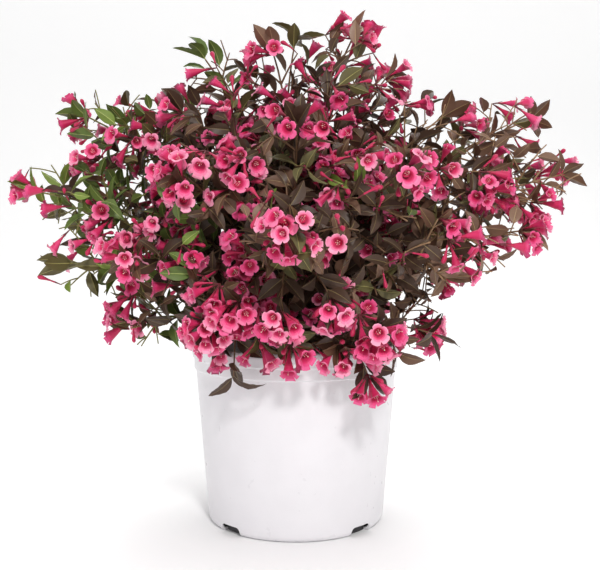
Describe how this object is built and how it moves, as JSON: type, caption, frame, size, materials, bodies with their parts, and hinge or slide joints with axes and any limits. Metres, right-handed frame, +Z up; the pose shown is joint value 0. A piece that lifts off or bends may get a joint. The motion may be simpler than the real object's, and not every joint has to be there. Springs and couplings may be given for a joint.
{
  "type": "weigela shrub in a nursery pot",
  "caption": "Flowering shrub with arching boughs, bronze leaves and pink trumpet flowers, growing in a round white nursery pot.",
  "frame": {"origin": "middle of the flat underside of the pot", "axes": "+Z up along the pot's axis; -Y is the side that faced the camera; +X is that viewer's right"},
  "size_m": [0.724, 0.5779, 0.647],
  "materials": {
    "pot_plastic": "smooth white moulded plastic with a soft shine and a bare face",
    "soil": "dark damp potting bark",
    "bark": "brown bark with fine ridges and pale pores",
    "foliage": "bronze-green leaves with paler midribs, and deep pink flowers"
  },
  "bodies": {
    "root": {"bough_arm_left": "bark", "bough_arm_right": "bark", "bough_arm_right_high": "bark", "bough_back_high": "bark", "bough_back_low_1": "bark", "bough_back_low_2": "bark", "bough_back_middle_1": "bark", "bough_back_middle_2": "bark", "bough_back_middle_3": "bark", "bough_brow_left": "bark", "bough_crest_centre": "bark", "bough_crest_left": "bark", "bough_crest_right": "bark", "bough_crest_side": "bark", "bough_flank_left": "bark", "bough_flank_right": "bark", "bough_front_centre": "bark", "bough_front_high": "bark", "bough_front_left": "bark", "bough_front_low_left": "bark", "bough_front_low_right": "bark", "bough_front_right": "bark", "bough_front_upper_left": "bark", "bough_front_upper_right": "bark", "bough_shoulder_left": "bark", "bough_shoulder_right": "bark", "bough_skirt_left": "bark", "bough_skirt_right": "bark", "foliage_arm_left": "foliage", "foliage_arm_right": "foliage", "foliage_arm_right_high": "foliage", "foliage_back_high": "foliage", "foliage_back_low_1": "foliage", "foliage_back_low_2": "foliage", "foliage_back_middle_1": "foliage", "foliage_back_middle_2": "foliage", "foliage_back_middle_3": "foliage", "foliage_brow_left": "foliage", "foliage_crest_centre": "foliage", "foliage_crest_left": "foliage", "foliage_crest_right": "foliage", "foliage_crest_side": "foliage", "foliage_flank_left": "foliage", "foliage_flank_right": "foliage", "foliage_front_centre": "foliage", "foliage_front_high": "foliage", "foliage_front_left": "foliage", "foliage_front_low_left": "foliage", "foliage_front_low_right": "foliage", "foliage_front_right": "foliage", "foliage_front_upper_left": "foliage", "foliage_front_upper_right": "foliage", "foliage_shoulder_left": "foliage", "foliage_shoulder_right": "foliage", "foliage_skirt_left": "foliage", "foliage_skirt_right": "foliage", "pot": "pot_plastic", "soil": "soil", "stem_base": "bark"}
  },
  "joints": []
}
